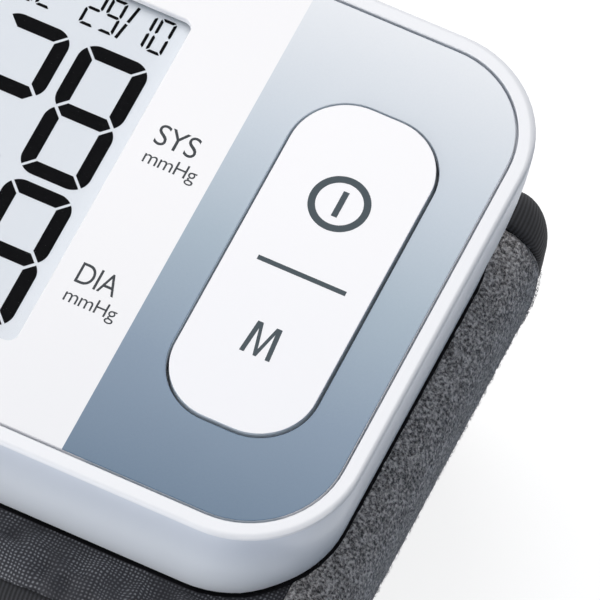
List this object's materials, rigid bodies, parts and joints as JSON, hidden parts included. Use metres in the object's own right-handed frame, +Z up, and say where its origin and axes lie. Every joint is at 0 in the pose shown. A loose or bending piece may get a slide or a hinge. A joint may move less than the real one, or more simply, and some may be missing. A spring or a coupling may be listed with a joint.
{
  "type": "wrist blood pressure monitor",
  "caption": "Wrist blood pressure monitor with a segment display, a rocker key and a battery door, on a padded curled cuff closed by a hinged hook-and-loop flap",
  "frame": {"origin": "on the flat underside of the closed cuff, below the middle of the case", "axes": "+Z up out of the display face, +Y towards the top of the display, +X towards the key side"},
  "size_m": [0.0825, 0.0765, 0.0762],
  "materials": {
    "white_shell": "glossy moulded",
    "printed_panel": "printed, white to slate blue",
    "clear_lens": "clear",
    "display_glass": "reflective display",
    "white_inner": "satin",
    "black_rubber": "matte",
    "dark_moulding": "matte",
    "board": "satin",
    "cell_sleeve": "gloss",
    "bright_metal": "plated",
    "clear_hose": "satin, milky",
    "woven_cover": "woven mesh",
    "loop_felt": "napped loop",
    "lining": "brushed knit",
    "curl": "satin"
  },
  "bodies": {
    "monitor": {"upper_case": "white_shell", "front_panel": "printed_panel", "display_lens": "clear_lens", "display_glass": "display_glass", "display_holder": "white_inner", "contact_strip_lower": "black_rubber", "contact_strip_upper": "black_rubber", "power_switch": "dark_moulding", "memory_switch": "dark_moulding", "circuit_board": "board", "controller_chip": "dark_moulding", "back_cover": "white_shell", "battery_cell_1": "cell_sleeve", "battery_cell_2": "cell_sleeve", "contact_minus": "bright_metal", "contact_plus": "bright_metal", "contact_link": "bright_metal", "battery_spring_1": "bright_metal", "battery_spring_2": "bright_metal", "case_screw_1": "bright_metal", "case_screw_2": "bright_metal", "case_screw_3": "bright_metal", "case_screw_4": "bright_metal", "pump_motor": "bright_metal", "pump_head": "dark_moulding", "exhaust_valve": "dark_moulding", "pressure_sensor": "white_inner", "air_manifold": "dark_moulding", "pump_hose": "clear_hose", "valve_hose": "clear_hose", "sensor_hose": "clear_hose", "cuff_hose": "clear_hose", "buzzer": "dark_moulding", "cuff_plate": "white_inner", "cuff_cover": "woven_cover", "cuff_felt": "loop_felt", "cuff_curl": "curl", "air_bladder": "black_rubber", "cuff_lining": "lining", "closing_tail": "loop_felt"},
    "rocker_key": {"rocker_key": "white_shell"},
    "battery_door": {"battery_door": "white_shell"},
    "cuff_flap": {"flap_cover": "woven_cover", "flap_pad": "lining", "hook_patch": "woven_cover", "pull_tab": "black_rubber"}
  },
  "joints": [
    {"name": "key_rock", "type": "hinge", "parent": "monitor", "child": "rocker_key", "pos_m": [0.0227, -0.00035, 0.071], "axis": [1, 0, 0], "range_deg": [-2, 2], "stiffness_Nm_per_rad": 0.7},
    {"name": "door_slide", "type": "slide", "parent": "monitor", "child": "battery_door", "axis": [-1, 0, 0], "range_m": [0, 0.008]},
    {"name": "flap_fold", "type": "hinge", "parent": "monitor", "child": "cuff_flap", "pos_m": [-0.0329, -0.00515, 0.01835], "axis": [0, -1, 0], "range_deg": [0, 75]}
  ]
}
